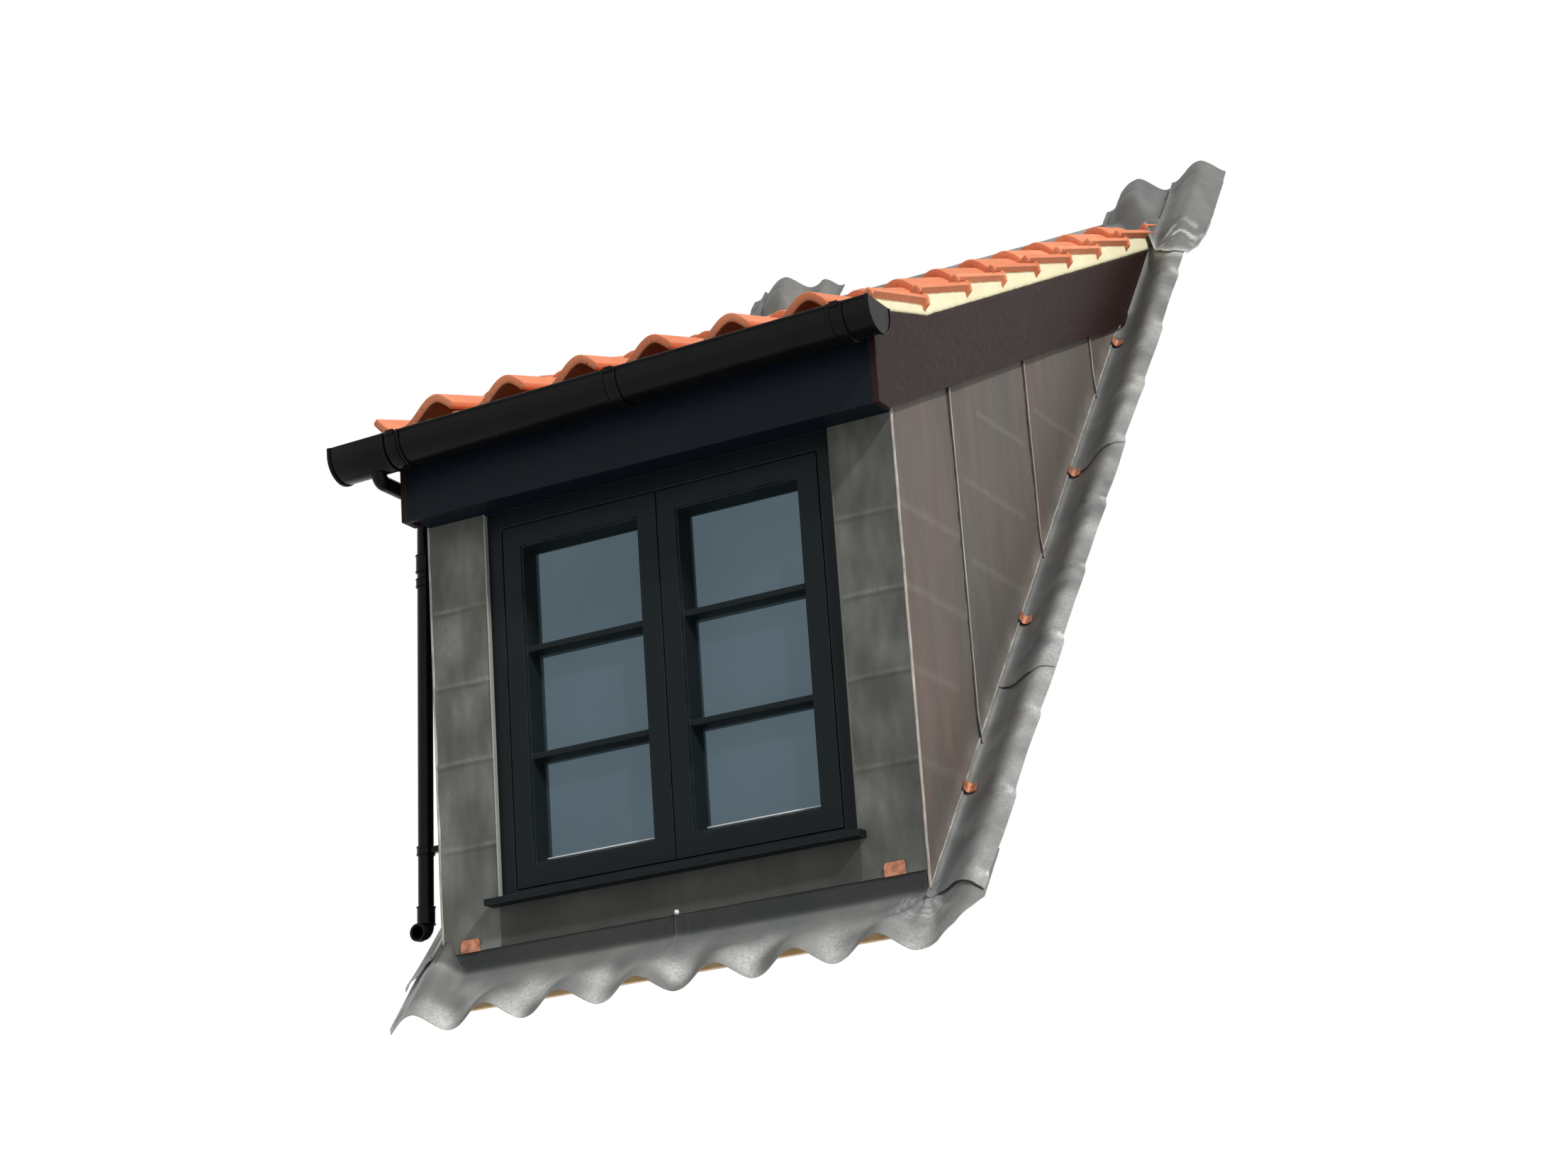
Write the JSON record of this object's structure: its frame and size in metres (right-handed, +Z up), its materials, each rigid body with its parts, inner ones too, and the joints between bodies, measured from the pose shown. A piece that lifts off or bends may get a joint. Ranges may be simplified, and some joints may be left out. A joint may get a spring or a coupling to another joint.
{
  "type": "shed dormer window",
  "caption": "Lead-clad shed dormer with paired casements, pantiled roof, bargeboards, flashings and eaves gutter, cut off at the roof it stands on.",
  "frame": {"origin": "middle of the sloping underside of the front sill plate, the face that rests on the main roof's rafters", "axes": "+X along the eaves to the right as seen from outside, +Y horizontally into the roof, +Z up"},
  "size_m": [1.6719, 2.4023, 2.775],
  "materials": {
    "timber": "sawn",
    "plywood": "sanded",
    "insulation": "matt",
    "plaster": "matt emulsion",
    "white_paint": "satin paint",
    "window_paint": "satin paint",
    "window_glass": "clear double glazing",
    "clay_tile": "unglazed terracotta",
    "mortar": "fresh pointed mortar",
    "fascia_paint": "satin paint",
    "barge_paint": "satin paint",
    "gutter_plastic": "gloss",
    "lead": "dull patinated lead sheet",
    "lead_bright": "dressed lead sheet with rubbed patches",
    "copper": "tarnished copper strip"
  },
  "bodies": {
    "root": {"sill_plate": "timber", "side_plate_left": "timber", "side_plate_right": "timber", "front_posts": "timber", "front_rail": "timber", "front_lintel": "timber", "front_boarding": "plywood", "cheek_wall_left": "timber", "cheek_wall_right": "timber", "cheek_boarding_left": "plywood", "cheek_boarding_right": "plywood", "roof_rafters": "timber", "roof_insulation": "insulation", "roof_deck": "plywood", "tile_battens": "timber", "ceiling_lining": "plaster", "cheek_linings": "plaster", "front_lining": "plaster", "window_board": "white_paint", "window_frame": "window_paint", "window_sill": "window_paint", "sash_left": "window_paint", "sash_right": "window_paint", "glass_left": "window_glass", "glass_right": "window_glass", "pantile_courses": "clay_tile", "verge_mortar": "mortar", "fascia": "fascia_paint", "soffit": "fascia_paint", "bargeboard_left": "barge_paint", "bargeboard_right": "barge_paint", "gutter": "gutter_plastic", "gutter_brackets": "gutter_plastic", "downpipe": "gutter_plastic", "pipe_clips": "gutter_plastic", "lead_jambs": "lead", "lead_under_sill": "lead", "lead_cheek_left": "lead", "lead_cheek_right": "lead", "apron_flashing": "lead_bright", "side_flashing_left": "lead_bright", "side_flashing_right": "lead_bright", "saddle_flashings": "lead_bright", "head_flashing": "lead_bright", "copper_clips": "copper"}
  },
  "joints": []
}
